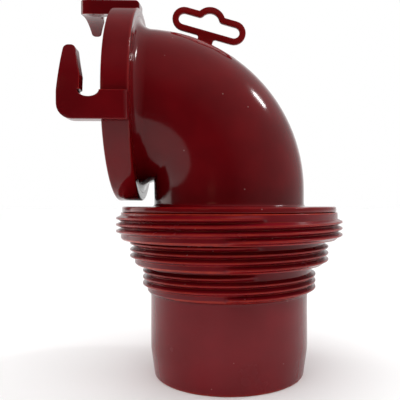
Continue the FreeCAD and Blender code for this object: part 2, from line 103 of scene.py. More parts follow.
# %% [markdown]
# ## Tools for turned and swept shapes
#
# Most of this fitting is round about one of two axes, so most meshes here are rings of points joined by
# quads. We could spin a curve with the Screw modifier instead. Rings of our own give the same points every
# time, can change shape on the way, and let one mesh go from a turned shape into a thread or a bend.
#
# `rounded` puts a small arc on each corner of an outline. Moulded plastic has no knife edges, and these
# arcs are what catches the light.

# %% Outlines with rounded corners
def arc(centre_x, centre_y, radius, first, last, steps):
    """Points on an arc, from one angle in degrees to another."""
    angles = [math.radians(first + (last - first) * step / steps) for step in range(steps + 1)]
    return [(centre_x + radius * math.cos(a), centre_y + radius * math.sin(a)) for a in angles]


def rounded(corners, closed=True, steps=4):
    """Swap each corner (x, y, radius) for an arc tangent to its two sides. Radius 0 leaves it sharp."""
    outline = []
    for index, (x, y, radius) in enumerate(corners):
        here = Vector((x, y))
        is_end = not closed and index in (0, len(corners) - 1)
        if radius == 0 or is_end:
            outline.append((x, y))
            continue
        before = (Vector(corners[index - 1][:2]) - here).normalized()
        after = (Vector(corners[(index + 1) % len(corners)][:2]) - here).normalized()
        half_turn = before.angle(after) / 2
        centre = here + (before + after).normalized() * (radius / math.sin(half_turn))
        start = here + before * (radius / math.tan(half_turn)) - centre
        finish = here + after * (radius / math.tan(half_turn)) - centre
        first = math.degrees(math.atan2(start.y, start.x))
        sweep = math.degrees(math.atan2(finish.y, finish.x)) - first
        sweep = (sweep + 180) % 360 - 180
        outline += arc(centre.x, centre.y, radius, first, first + sweep, steps)
    return outline


SUPPORT = 0.8           # how far from an edge its support points stand
LONG_STRAIGHT = 0.3     # a straight is long when SUPPORT is less than this part of it


def supported(outline, closed=False):
    """Add points near both ends of every long straight, so that the painted glow and shade of an edge stay
    near it.
    """
    points = outline + outline[:1] if closed else outline
    result = points[:1]
    for (x, y), (next_x, next_y) in zip(points, points[1:]):
        part = SUPPORT / max(math.hypot(next_x - x, next_y - y), SUPPORT)
        if part < LONG_STRAIGHT:
            result.append((x + (next_x - x) * part, y + (next_y - y) * part))
            result.append((next_x - (next_x - x) * part, next_y - (next_y - y) * part))
        result.append((next_x, next_y))
    return result[:-1] if closed else result


# %% Rings of points, and the skin between them
def ring_of_points(centre, outward, radius, columns=COLUMNS):
    """One ring. outward is the direction of its first point, and Y is a quarter turn from it."""
    turns = 2 * np.pi * np.arange(columns) / columns
    across = np.multiply.outer(np.cos(turns), np.array(outward, float))
    sideways = np.multiply.outer(np.sin(turns), np.array((0.0, 1.0, 0.0)))
    return np.array(centre, float) + (across + sideways) * np.reshape(radius, (-1, 1))


def leg_ring(radius, height):
    return ring_of_points((0, 0, height), (1, 0, 0), radius)


def mouth_ring(along, radius, columns=COLUMNS):
    return ring_of_points((along, 0, mouth_height), (0, 0, 1), radius, columns)


def skin(rings, wrap=False):
    """Points and quads between rings that have the same number of points."""
    columns = len(rings[0])
    rows = len(rings) if wrap else len(rings) - 1
    faces = []
    for row in range(rows):
        here = row * columns
        there = (row + 1) % len(rings) * columns
        for column in range(columns):
            side = (column + 1) % columns
            faces.append((here + column, here + side, there + side, there + column))
    return np.concatenate(rings), faces


# %% [markdown]
# A mesh is worth checking as soon as it exists. `make_piece` joins the skins, merges the points that they
# share, and prints how many edges don't have exactly two faces. A closed moulding has none.

# %% Make a piece and measure it
MERGE = 0.0005 * MM
SHARP_DEGREES = 32


def close_mesh(mesh):
    """Merge doubled points, turn every face outwards and count the edges that are still open."""
    body = bmesh.new()
    body.from_mesh(mesh)
    bmesh.ops.remove_doubles(body, verts=body.verts, dist=MERGE)
    bmesh.ops.dissolve_degenerate(body, edges=body.edges, dist=MERGE)
    bmesh.ops.recalc_face_normals(body, faces=body.faces)
    open_edges = sum(1 for edge in body.edges if len(edge.link_faces) != 2)
    body.to_mesh(mesh)
    body.free()
    return open_edges


def shade(mesh):
    mesh.shade_smooth()
    mesh.set_sharp_from_angle(angle=math.radians(SHARP_DEGREES))


def solid_mesh(holder):
    """The mesh that a curve or a modifier makes."""
    bpy.context.view_layer.update()
    return bpy.data.meshes.new_from_object(holder.evaluated_get(bpy.context.evaluated_depsgraph_get()))


def make_piece(name, *skins):
    points = []
    faces = []
    for skin_points, skin_faces in skins:
        first = len(points)
        points += [Vector(point) * MM for point in skin_points]
        faces += [tuple(first + corner for corner in face) for face in skin_faces]
    mesh = bpy.data.meshes.new(name)
    mesh.from_pydata(points, [], faces)
    open_edges = close_mesh(mesh)
    shade(mesh)
    piece = bpy.data.objects.new(name, mesh)
    bpy.context.collection.objects.link(piece)
    print("%s: %d faces, %d open edges" % (name, len(mesh.polygons), open_edges))
    return piece


def combine(piece, tool, operation):
    """Join or cut with the exact solver, then throw the tool away."""
    step = piece.modifiers.new(operation, "BOOLEAN")
    step.operation = operation
    step.solver = "EXACT"
    step.object = tool
    result = solid_mesh(piece)
    piece.modifiers.clear()
    result.name = piece.name
    piece.data = result
    open_edges = close_mesh(result)
    shade(result)
    bpy.data.objects.remove(tool)
    print("%s after %s: %d faces, %d open edges" % (
        piece.name, operation, len(result.polygons), open_edges))


# %% [markdown]
# ## The threaded adapter
#
# The adapter screws into a sewer inlet. Inlets come in three thread sizes, so the moulding steps down from
# a 4 inch to a 3.5 inch and a 3 inch thread, and ends in a plain slip end. The threads are right-hand, with
# eight turns to the inch.
#
# A helix could be swept and joined on with a boolean, but a thread and its wall meet along a very long thin
# seam, which shades badly. Here the wall itself is a grid whose rows climb with the helix, so the thread's
# crest and flanks lie exactly on rows. Rows that would leave the section are flattened onto its edge and
# merged there. A row that passes within SNAP of the edge moves onto it, which avoids most slivers.

# %% The thread's section
thread_depth = 2.4
thread_first = -0.012   # the turn at which the thread starts
thread_turns = 3.05
thread_start = 1.8
thread_base = 2.9
thread_crest = 0.7
FADE_IN = 0.035
FADE_OUT = 0.06

ridge = rounded([
    (-thread_pitch / 2, 0, 0),
    (-thread_base / 2, 0, 0.22),
    (-thread_crest / 2, thread_depth, 0.3),
    (thread_crest / 2, thread_depth, 0.3),
    (thread_base / 2, 0, 0.22),
    (thread_pitch / 2, 0, 0),
], closed=False)
ridge_offsets = np.array([point[0] for point in ridge])
ridge_heights = np.array([point[1] for point in ridge])


def ridge_height(above_foot, turn):
    """Height of the thread on its wall. turn is the part of a turn made from the front, anticlockwise."""
    wound = (above_foot - thread_start) / thread_pitch - turn
    nearest = np.round(wound)
    height = np.interp((wound - nearest) * thread_pitch, ridge_offsets, ridge_heights)
    made = nearest + turn - thread_first
    fade = np.clip(made / FADE_IN, 0, 1) * np.clip((thread_turns - made) / FADE_OUT, 0, 1)
    return height * np.sqrt(fade)


# %% One threaded wall
step_chamfer = 0.8
SNAP = 0.01
column_turns = np.arange(COLUMNS) / COLUMNS
FRONT = -np.pi / 2


def wall_points(root, foot, heights):
    """Points of a threaded wall, one for each column, at the given heights."""
    chamfer = np.clip(step_chamfer - (heights - foot), 0, None)
    radius = root - chamfer + ridge_height(heights - foot, column_turns)
    angle = FRONT + 2 * np.pi * column_turns
    return np.stack([radius * np.cos(angle), radius * np.sin(angle), heights], axis=1)


def threaded_wall(root, foot, top):
    """The outer skin of one threaded section. Each row climbs one pitch in a turn."""
    rows_in_pitch = len(ridge_offsets) - 1
    turns_needed = math.ceil((top - foot) / thread_pitch) + 2
    rows = []
    for turn in range(-2, turns_needed):
        for offset in ridge_offsets[:-1]:
            climb = foot + thread_start + thread_pitch * (turn + column_turns) + offset
            climb = np.where(np.abs(climb - foot) < SNAP, foot, climb)
            climb = np.where(np.abs(climb - top) < SNAP, top, climb)
            rows.append(wall_points(root, foot, np.clip(climb, foot, top)))
    faces = []
    for row in range(len(rows) - 1):
        for column in range(COLUMNS):
            side = column + 1
            lift = 0
            if side == COLUMNS:
                side = 0
                lift = rows_in_pitch
            if row + 1 + lift < len(rows):
                low = row * COLUMNS
                high = (row + 1) * COLUMNS
                raised = lift * COLUMNS
                faces.append((low + column, low + raised + side, high + raised + side, high + column))
    return np.concatenate(rows), faces


def adapter_ring(radius, height):
    """A plain ring whose first point is at the front, as in the threaded walls."""
    angle = FRONT + 2 * np.pi * column_turns
    return np.stack([radius * np.cos(angle), radius * np.sin(angle), np.full(COLUMNS, height)], axis=1)


# %% [markdown]
# The inside of the adapter is plain turned work: a bore, and two shelves. The upper shelf is the hub that
# the elbow's spigot turns in. All of it is one loop of rings, so the moulding is closed and has a real wall
# thickness.

# %% Build the adapter
def section(name):
    """Root radius, foot and top of a threaded section, from its mount."""
    mount = mounts[name]
    middle = mount["pos_m"][2] / MM
    half = mount["dims"]["length_mm"] / 2
    return mount["dims"]["r_mm"] - thread_depth, middle - half, middle + half


adapter_top = adapter_high.z
slip_outer = mounts["slip_end"]["dims"]["r_mm"]
large_root, large_foot, _ = section("thread_4_inch")
middle_root, middle_foot, _ = section("thread_3_5_inch")
small_root, small_foot, _ = section("thread_3_inch")
hub_thick = 3.0
hub_bore = 38.46
large_bore = 51.6
middle_bore = 45.0
guide_bore = 39.2
slip_bore = 36.4
slip_tip = 38.3
slip_taper = 14.0
TOP_EDGE = 0.5

inside = rounded([
    (large_root, adapter_top - TOP_EDGE, 0),
    (large_root, adapter_top, 0.45),
    (large_bore, adapter_top, 0.4),
    (large_bore, large_foot + hub_thick, 0.8),
    (hub_bore, large_foot + hub_thick, 0.3),
    (hub_bore, large_foot, 0.3),
    (middle_bore, large_foot, 0.8),
    (middle_bore, middle_foot + hub_thick, 0.8),
    (guide_bore, middle_foot + hub_thick, 0.4),
    (guide_bore, small_foot + hub_thick, 0.4),
    (slip_bore, small_foot + hub_thick, 0.6),
    (slip_bore, 0, 0.5),
    (slip_tip, 0, 0.9),
    (slip_outer, slip_taper, 30),
    (slip_outer, small_foot, 1.1),
    (small_root - step_chamfer, small_foot, 0),
], closed=False)


def shelf(lower_root, lower_foot, upper_root, upper_foot):
    """The flat step from the top of one threaded wall out to the foot of the next."""
    heights = np.full(COLUMNS, upper_foot)
    inner = wall_points(lower_root, lower_foot, heights)
    outer = wall_points(upper_root, upper_foot, heights)
    return skin([inner, outer])


top_edge = np.full(COLUMNS, adapter_top - TOP_EDGE)
foot_edge = np.full(COLUMNS, small_foot)
inside_rings = [wall_points(large_root, large_foot, top_edge)]
inside_rings += [adapter_ring(radius, height) for radius, height in supported(inside)[1:-1]]
inside_rings.append(wall_points(small_root, small_foot, foot_edge))
adapter = make_piece(
    "adapter_moulding",
    threaded_wall(small_root, small_foot, middle_foot),
    shelf(small_root, small_foot, middle_root, middle_foot),
    threaded_wall(middle_root, middle_foot, large_foot),
    shelf(middle_root, middle_foot, large_root, large_foot),
    threaded_wall(large_root, large_foot, adapter_top - TOP_EDGE),
    skin(inside_rings),
)
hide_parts("threaded_adapter")
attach(adapter, "adapter")

# %% [markdown]
# ## The elbow
#
# The elbow is one moulding: a grooved spigot that turns in the adapter, a rim disc that covers the
# adapter's edge, the leg, the bend and the tube. Its mould has a core for each tube, and the two cores
# meet in a sharp corner on the inside of the bend, while the outside is a true quarter of a torus.
#
# We lay one ring after another along the centre line, outside first and then back through the bore, and
# close the last ring on the first.

# %% The turned lower end
play = 0.08
spigot = hub_bore - play
spigot_bore = 34.8
spigot_foot = elbow_low.z
seal_low, seal_high = box_mm("swivel_seal")
SEAL_PLAY = 0.26
seal_groove = 36.5
groove_foot = seal_low.z - SEAL_PLAY
groove_top = seal_high.z + SEAL_PLAY
retainer_low, _ = box_mm("retaining_ring")
retainer_groove = 36.9
hub_outer = 41.0
RIM_GAP = 0.25
RIM_RISE = 2.9
rim_under = adapter_top + RIM_GAP
rim_top = adapter_top + RIM_RISE
LIP_WIDE = 2
LIP_DROP = 2.4
lip_outer = large_bore - 0.35

lower_end = rounded([
    (spigot_bore, spigot_foot, 0),
    (spigot, spigot_foot, 0.5),
    (spigot, groove_foot, 0.15),
    (seal_groove, groove_foot, 0.2),
    (seal_groove, groove_top, 0.2),
    (spigot, groove_top, 0.15),
    (spigot, retainer_low.z - play, 0.1),
    (retainer_groove, retainer_low.z - play, 0.2),
    (retainer_groove, large_foot, 0.2),
    (spigot, large_foot, 0.1),
    (spigot, large_foot + hub_thick + play, 0.2),
    (hub_outer, large_foot + hub_thick + play, 0.4),
    (hub_outer, rim_under, 0.5),
    (lip_outer - LIP_WIDE, rim_under, 0.4),
    (lip_outer - LIP_WIDE, rim_under - LIP_DROP, 0.4),
    (lip_outer, rim_under - LIP_DROP, 0.4),
    (lip_outer, rim_under, 0.2),
    (rim_outer, rim_under, 0.55),
    (rim_outer, rim_top, 0.75),
    (tube_outer, rim_top, 1.5),
    (tube_outer, bend_height, 0),
], closed=False)
outer_rings = [leg_ring(radius, height) for radius, height in supported(lower_end)]

# %% [markdown]
# The inside corner is sharp only on the inner side of the bend. Each ring of the bend is therefore not
# quite a circle: it is pulled in near its inner point, by just as much as puts that point on the corner,
# and the pull has faded out 62 degrees round the section.

# %% The bend, with its sharp inner corner
corner = bend - tube_outer
SOFTEN = math.radians(62)


def bend_frame(degrees):
    """Centre and outward direction of a ring of the bend."""
    turn = math.radians(degrees)
    outward = Vector((math.cos(turn), 0, math.sin(turn)))
    return Vector((-bend, 0, bend_height)) + outward * bend, outward


def bend_radius(degrees):
    """The section's radius for each column: a circle with its inner side pulled into the corner."""
    from_inner = np.abs(2 * np.pi * np.arange(COLUMNS) / COLUMNS - np.pi)
    weight = np.clip(1 - from_inner / SOFTEN, 0, 1)
    weight = weight * weight * (3 - 2 * weight)
    turn = math.radians(degrees)
    pull = corner / max(math.cos(turn), math.sin(turn)) - corner
    return tube_outer - weight * pull


# %% [markdown]
# Where the tube meets the bayonet ring it flares out in a hollow curve. The curve is a quarter of an
# ellipse, measured from the ring's back, so the same function serves every point of the tube.

# %% The flare behind the ring
FLARE_LENGTH = 6.0
flare_height = flare_outer - tube_outer


def flared(points):
    """Push points near the ring's back outwards from the mouth's axis."""
    near = np.clip((ring_back + FLARE_LENGTH - points[:, 0]) / FLARE_LENGTH, 0, 1)
    push = flare_height * (1 - np.sqrt(1 - near ** 2))
    radial = points * (0, 1, 1) - (0, 0, mouth_height)
    radial /= np.linalg.norm(radial, axis=1, keepdims=True)
    return points + radial * push[:, None]


bend_steps = [*np.arange(3, 45, 3), 45, *np.arange(48, 84, 3), *np.arange(84, 90.1, 0.5)]
for degrees in bend_steps:
    centre, outward = bend_frame(degrees)
    outer_rings.append(flared(ring_of_points(centre, outward, bend_radius(degrees))))
reach_start = math.asin((ring_back + FLARE_LENGTH + bend) / FLARE_LENGTH)
for turn in np.linspace(reach_start, math.pi / 2, 9)[1:]:
    along = ring_back + FLARE_LENGTH - FLARE_LENGTH * math.sin(turn)
    outer_rings.append(flared(mouth_ring(along, tube_outer)))

# %% The end of the tube and the bore
FLARE_SEAT = 2.0
BORE_CONE = 1.2         # height of the cone between the leg's bore and the spigot's
tube_end = gasket_high.x
outer_rings.append(mouth_ring(ring_back - FLARE_SEAT, flare_outer))
outer_rings.append(mouth_ring(ring_back - FLARE_SEAT, tube_outer))
outer_rings.append(mouth_ring(tube_end, tube_outer))
inner_rings = [mouth_ring(tube_end, tube_bore), mouth_ring(tube_end + SUPPORT, tube_bore)]
for degrees in range(90, -1, -5):
    centre, outward = bend_frame(degrees)
    inner_rings.append(ring_of_points(centre, outward, tube_bore))
inner_rings.append(leg_ring(tube_bore, rim_top))
inner_rings.append(leg_ring(spigot_bore, rim_top - BORE_CONE))
elbow = make_piece("elbow_moulding", skin(outer_rings + inner_rings, wrap=True))

# %% [markdown]
# ## The seat of the hang tab
#
# The hang tab stands on a round base plate that is let into the top of the bend. A fine gap runs round the
# plate, and it is what the eye picks out as the plate's outline. We cut that gap with a thin-walled tube
# that stands square to the bend.
#
# A cut leaves long thin faces, and smooth shading bends the light on them. The bend's true normal is known,
# though: it points away from the centre line. So after the cut we give every corner that lies on the torus
# its true normal.

# %% Where the base plate stands
plate_outer = 21.5
plate_angle = math.radians(68.5)
plate_normal = Vector((math.cos(plate_angle), 0, math.sin(plate_angle)))
plate_along = Vector((-math.sin(plate_angle), 0, math.cos(plate_angle)))
bend_centre = Vector((-bend, 0, bend_height))


def on_bend(along, across, section_radius):
    """The point over a place on the plate, on the torus of the given section radius."""
    level = bend + math.sqrt(section_radius ** 2 - across ** 2)
    rise = math.sqrt(level ** 2 - along ** 2)
    return bend_centre + plate_normal * rise + plate_along * along + Vector((0, across, 0))


PLATE_COLUMNS = 120


def plate_ring(distance, section_radius):
    """A ring of points at one distance from the plate's middle."""
    turns = [2 * math.pi * step / PLATE_COLUMNS for step in range(PLATE_COLUMNS)]
    return np.array([
        on_bend(distance * math.cos(turn), distance * math.sin(turn), section_radius)
        for turn in turns])


# %% Cut the fine gap round the plate
GAP = 0.45
GAP_DEPTH = 1.0
PROUD = 2.0
gap_cutter = make_piece("gap_cutter", skin([
    plate_ring(plate_outer, tube_outer + PROUD),
    plate_ring(plate_outer + GAP, tube_outer + PROUD),
    plate_ring(plate_outer + GAP, tube_outer - GAP_DEPTH),
    plate_ring(plate_outer, tube_outer - GAP_DEPTH),
], wrap=True))
combine(elbow, gap_cutter, "DIFFERENCE")


# %% True normals on the bend
ON_SURFACE = 0.02       # millimetres
BEND_LIMIT = math.radians(85)
SAME_WAY = 0.97         # cosine of the largest turn that a normal may be given


def true_torus_normals(piece, section_radius):
    """Give corners on the bend's outer half the torus's own normals."""
    mesh = piece.data
    corners = len(mesh.loops)
    normals = np.zeros(corners * 3)
    mesh.corner_normals.foreach_get("vector", normals)
    normals = normals.reshape(-1, 3)
    index = np.zeros(corners, int)
    mesh.loops.foreach_get("vertex_index", index)
    places = np.zeros(len(mesh.vertices) * 3)
    mesh.vertices.foreach_get("co", places)
    from_centre = places.reshape(-1, 3)[index] / MM - np.array(bend_centre)
    turn = np.arctan2(from_centre[:, 2], from_centre[:, 0])
    spoke = np.stack([np.cos(turn), np.zeros(corners), np.sin(turn)], axis=1)
    away = from_centre - spoke * bend
    distance = np.linalg.norm(away, axis=1)
    true = away / distance[:, None]
    outer_half = (away * spoke).sum(1) > 0
    on_torus = np.abs(distance - section_radius) < ON_SURFACE
    in_bend = (turn > 0) & (turn < BEND_LIMIT)
    agrees = (true * normals).sum(1) > SAME_WAY
    chosen = outer_half & on_torus & in_bend & agrees
    normals[chosen] = true[chosen]
    mesh.normals_split_custom_set(normals.tolist())
    print("%s: %d of %d corners have true normals" % (piece.name, chosen.sum(), corners))


true_torus_normals(elbow, tube_outer)
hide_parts("elbow")
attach(elbow, "elbow_body")


# %% [markdown]
# ## Flat outlines
#
# The hang tab and the hooks are flat shapes with rounded edges. Blender's 2D curve does this well: it fills
# the outline, leaves its holes open, gives it a thickness and rounds the edge in one go. We turn the result
# into a mesh at once, because the hooks are still to be bent.

# %% Cut a part from a flat outline
def flat_part(name, outlines, thickness, edge):
    """A plate in the XY plane, in metres, with its edges rounded by edge millimetres."""
    curve = bpy.data.curves.new(name, "CURVE")
    curve.dimensions = "2D"
    curve.fill_mode = "BOTH"
    for outline in outlines:
        spline = curve.splines.new("POLY")
        spline.points.add(len(outline) - 1)
        for point, (x, y) in zip(spline.points, outline):
            point.co = (x * MM, y * MM, 0, 1)
        spline.use_cyclic_u = True
    curve.bevel_depth = edge * MM
    curve.bevel_resolution = 2
    curve.offset = -edge * MM
    curve.extrude = (thickness / 2 - edge) * MM
    holder = bpy.data.objects.new(name, curve)
    bpy.context.collection.objects.link(holder)
    mesh = solid_mesh(holder)
    mesh.name = name
    bpy.data.objects.remove(holder)
    open_edges = close_mesh(mesh)
    piece = bpy.data.objects.new(name, mesh)
    bpy.context.collection.objects.link(piece)
    print("%s: flat part with %d faces, %d open edges" % (name, len(mesh.polygons), open_edges))
    return piece


# %% [markdown]
# ## The bayonet ring and its hooks
#
# A mating fitting is pushed into the ring and turned, and its lugs slide under the fingers of the hooks.
# Three hooks stand on the ring a quarter turn apart. The lowest place has none, because the rim disc is so
# close there.
#
# Each hook starts as a flat outline with a round notch at the finger's foot. We cut it into narrow strips
# and lay it on the cylinder, so it becomes a slice of a tube, as in the mould.

# %% The hook's outline
HOOK_FOOT = -14.3
ARM_TOP = -2.35
FINGER_TOP = 17.1
HOOK_EDGE = 0.3
NOTCH_MIDDLE = ring_face - 4.25
NOTCH_HALF = 4.55
NOTCH_DEPTH = 2.8

hook_outline = rounded([
    (ring_face - 7.9, ARM_TOP + 0.4, 0),
    (ring_face - 7.7, 3.9, 1.6),
    (ring_face - 10.3, FINGER_TOP, 2.1),
    (ring_face - 14.9, FINGER_TOP, 2.2),
    (hook_end + 0.3, -3.0, 9.0),
    (hook_end, HOOK_FOOT, 5.8),
    (ring_back - 0.02, HOOK_FOOT, 0.8),
    (ring_back - 0.02, ARM_TOP, 0.5),
    (NOTCH_MIDDLE + NOTCH_HALF, ARM_TOP, 0),
], closed=False, steps=6)
hook_outline += [
    (NOTCH_MIDDLE + NOTCH_HALF * math.cos(turn), ARM_TOP + NOTCH_DEPTH * math.sin(turn))
    for turn in np.linspace(0, -math.pi, 15)[1:]]


# %% [markdown]
# The flat blank is cut in all three directions before it is bent. The cuts that run along the arm keep
# the bend round. The others give the flat faces points of their own, so the painted edge glow stays at
# the edges, and they let the arm's back end round over. The finger of the top hook leans outwards a little.

# %% Bend a flat hook onto its cylinder
STRIP = 1.2
FIRST_STRIP = 0.7
BACK_ROUND = 2.1
BACK_STRIPS = 7
TOP_HOOK_LEAN = 2.9


def cut_in_strips(body, first, last, step, direction):
    """Cut a mesh with parallel planes. Sizes are in millimetres."""
    for count in range(math.ceil((last - first) / step)):
        everything = body.verts[:] + body.edges[:] + body.faces[:]
        place = Vector(direction) * (first + count * step) * MM
        bmesh.ops.bisect_plane(body, geom=everything, dist=MERGE, plane_co=place, plane_no=direction)


def bent_hook(name, turn_degrees, lean):
    """A hook on the near side, turned about the mouth's axis. lean moves the finger's tip outwards."""
    hook = flat_part(name, [hook_outline], hook_outer - hook_inner, HOOK_EDGE)
    body = bmesh.new()
    body.from_mesh(hook.data)
    cut_in_strips(body, HOOK_FOOT + FIRST_STRIP, FINGER_TOP, STRIP, (0, 1, 0))
    cut_in_strips(body, hook_end + FIRST_STRIP, ring_back - BACK_ROUND, STRIP, (1, 0, 0))
    cut_in_strips(body, ring_back - BACK_ROUND, ring_back, BACK_ROUND / BACK_STRIPS, (1, 0, 0))
    half = (hook_outer - hook_inner) / 2
    cut_in_strips(body, HOOK_EDGE + 0.6 - half, half - HOOK_EDGE, STRIP, (0, 0, 1))
    turn = math.radians(turn_degrees)
    middle = (hook_outer + hook_inner) / 2
    for vertex in body.verts:
        along, height, depth = vertex.co / MM
        past = max(0, along - ring_back + BACK_ROUND)
        ceiling = hook_outer - BACK_ROUND + math.sqrt(BACK_ROUND ** 2 - min(past, BACK_ROUND) ** 2)
        radius = min(middle + depth, ceiling)
        along -= lean * max(0, height - ARM_TOP) / (FINGER_TOP - ARM_TOP)
        near = math.sqrt(radius ** 2 - height ** 2)
        side = -near * math.cos(turn) - height * math.sin(turn)
        rise = height * math.cos(turn) - near * math.sin(turn)
        vertex.co = Vector((along, side, mouth_height + rise)) * MM
    bmesh.ops.recalc_face_normals(body, faces=body.faces)
    body.to_mesh(hook.data)
    body.free()
    return hook


# %% Turn the ring and join the hooks
recess_outer = 45.0
recess_floor = tube_end
BOND_GAP = 0.05
ring_profile = rounded([
    (ring_back, flare_outer + BOND_GAP, 0.15),
    (ring_back, ring_outer, 0.9),
    (ring_face, ring_outer, 0.9),
    (ring_face, recess_outer, 0.4),
    (recess_floor, recess_outer, 0.3),
    (recess_floor, tube_outer + BOND_GAP, 0.1),
    (ring_back - FLARE_SEAT - BOND_GAP, tube_outer + BOND_GAP, 0.1),
    (ring_back - FLARE_SEAT - BOND_GAP, flare_outer + BOND_GAP, 0.1),
])
ring_rings = [mouth_ring(*point) for point in supported(ring_profile, closed=True)]
bayonet_ring = make_piece("bayonet_ring_moulding", skin(ring_rings, wrap=True))
hooks = (("near_hook", 0, 0), ("top_hook", -90, TOP_HOOK_LEAN), ("far_hook", 180, 0))
for name, turn_degrees, lean in hooks:
    combine(bayonet_ring, bent_hook(name, turn_degrees, lean), "UNION")
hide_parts("bayonet_ring")
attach(bayonet_ring, "elbow_body")

# %% [markdown]
# ## The face gasket
#
# Inside the ring lies a rubber washer with a raised lip. The lip bends against the mating fitting and keeps
# the joint tight, so it is thin, and it leans outwards.

# %% Turn the gasket
gasket_back = gasket_high.x
gasket_face = gasket_low.x
gasket_outer = gasket_high.y
gasket_bore = 35.9
gasket_profile = rounded([
    (gasket_back, gasket_bore, 0.3),
    (gasket_face, gasket_bore + 1.6, 0.45),
    (gasket_face, gasket_bore + 2.8, 0.45),
    (gasket_face + 1.0, gasket_bore + 3.8, 0.6),
    (gasket_face + 1.0, gasket_bore + 6.6, 0.3),
    (gasket_face + 1.35, gasket_bore + 6.9, 0.2),
    (gasket_face + 1.0, gasket_bore + 7.2, 0.3),
    (gasket_face + 1.0, gasket_outer, 0.5),
    (gasket_back, gasket_outer, 0.4),
])
GASKET_COLUMNS = 192
gasket_rings = [mouth_ring(along, radius, GASKET_COLUMNS) for along, radius in gasket_profile]
gasket = make_piece("gasket_washer", skin(gasket_rings, wrap=True))
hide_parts("bayonet_gasket")
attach(gasket, "elbow_body")

# %% [markdown]
# ## The hang tab
#
# The tab lets the fitting hang on a shop's display hook: a flat bar with the usual hole, a slot with a hump
# in the middle. Its stem stands on the base plate, which follows the bend. The outline is made of arcs,
# once for the outside and once for the hole, and a small fillet joins the hump to the bar.

# %% The outline of the tab
TAB_HALF = 19.6
TAB_END = 6.2
TAB_BAR = 3.3
TAB_THICK = 2.2
HUMP = 8.1
HUMP_HEIGHT = 8.0
STEM_HALF = 4.0
STEM_DROP = 5.6
STEM_FILLET = 1.3


def tab_loop(end_radius, hump_radius, fillet):
    """The top and the two ends, from the right end round to the left. Fillets join the hump to the bar."""
    end_place = TAB_HALF - TAB_END
    top = TAB_END + end_radius
    reach = hump_radius + fillet
    rise = top + fillet - HUMP_HEIGHT
    fillet_place = math.sqrt(reach ** 2 - rise ** 2)
    hump_start = math.degrees(math.asin(rise / reach))
    outline = arc(end_place, TAB_END, end_radius, -90, 90, 12)
    outline += arc(fillet_place, top + fillet, fillet, -90, hump_start - 180, 6)
    outline += arc(0, HUMP_HEIGHT, hump_radius, hump_start, 180 - hump_start, 24)
    outline += arc(-fillet_place, top + fillet, fillet, -hump_start, -90, 6)
    outline += arc(-end_place, TAB_END, end_radius, 90, 270, 12)
    return outline


stem_side = rounded([
    (-STEM_HALF - 3 * STEM_FILLET, 0, 0),
    (-STEM_HALF, 0, STEM_FILLET),
    (-STEM_HALF, -STEM_DROP, 0),
], closed=False)
OUTER_FILLET = 0.9
HOLE_FILLET = 2.6
other_side = [(-x, y) for x, y in reversed(stem_side)]
tab_outside = tab_loop(TAB_END, HUMP, OUTER_FILLET) + stem_side + other_side
tab_hole = tab_loop(TAB_END - TAB_BAR, HUMP - TAB_BAR, HOLE_FILLET)

# %% Stand the tab on its base plate
TAB_PLACE = Vector((-12.05, 0, 173.2))
TAB_TILT = math.radians(15.3)
TAB_EDGE = 0.45

tab = flat_part("hang_tab_moulding", [tab_outside, tab_hole], TAB_THICK, TAB_EDGE)
for vertex in tab.data.vertices:
    along, height, depth = vertex.co / MM
    across = along * math.cos(TAB_TILT) + height * math.sin(TAB_TILT)
    rise = -along * math.sin(TAB_TILT) + height * math.cos(TAB_TILT)
    vertex.co = (TAB_PLACE + Vector((across, depth, rise))) * MM

# %% [markdown]
# The plate is a stack of rings from its middle outwards, with a rounded edge, and back underneath. Its
# rings stand close together, since wider ones show as faint circles in the gloss.

# %% Turn the base plate and join it
PLATE_THICK = 1.6
PLATE_EDGE = 0.35
PLATE_HUB = 0.01
PLATE_STEP = 1.5
plate_under = tube_outer - PLATE_THICK + BOND_GAP
steps_out = np.arange(PLATE_STEP, plate_outer - 1, PLATE_STEP)
plate_profile = [(distance, tube_outer) for distance in (PLATE_HUB, *steps_out)]
plate_profile += [
    (plate_outer - PLATE_EDGE, tube_outer),
    (plate_outer - PLATE_EDGE * 0.3, tube_outer - PLATE_EDGE * 0.3),
    (plate_outer, tube_outer - PLATE_EDGE),
    (plate_outer, plate_under),
    (12, plate_under),
    (PLATE_HUB, plate_under),
]
plate_rings = [plate_ring(distance, radius) for distance, radius in plate_profile]
base_plate = make_piece("base_plate", skin(plate_rings, wrap=True))
combine(tab, base_plate, "UNION")
true_torus_normals(tab, tube_outer)
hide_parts("hang_tab")
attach(tab, "elbow_body")

# %% [markdown]
# ## Materials
#
# A material here is a small network of nodes. `add_node` makes any kind of node: it takes the node's own
# settings by name, and for each input either a value or another node's output.
#
# Colours are written as hex numbers, as a paint chart gives them. Screens store colour on a curve, and
# light adds up on a straight line, so `linear` straightens them.

# %% Colour and node helpers
def linear(hex_colour):
    """Turn an sRGB hex colour to the linear colour that Blender works with."""
    parts = [int(hex_colour[place:place + 2], 16) / 255 for place in (1, 3, 5)]
    straight = [
        part / 12.92 if part <= 0.04045 else ((part + 0.055) / 1.055) ** 2.4 for part in parts]
    return (*straight, 1.0)


def add_node(tree, kind, inputs, **settings):
    """Add one node. inputs maps a socket's name or number to a value or to another node's output."""
    made = tree.nodes.new(kind)
    for name, setting in settings.items():
        setattr(made, name, setting)
    for socket, source in inputs.items():
        if isinstance(source, bpy.types.NodeSocket):
            tree.links.new(source, made.inputs[socket])
        else:
            made.inputs[socket].default_value = source
    return made


def per_metre(size_mm):
    """Noise scale that gives features of about the given size."""
    return 1 / (size_mm * MM)


def new_material(name):
    """A material with its node tree and its main shader."""
    material = bpy.data.materials.new(name)
    material.use_nodes = True
    return material, material.node_tree, material.node_tree.nodes["Principled BSDF"]
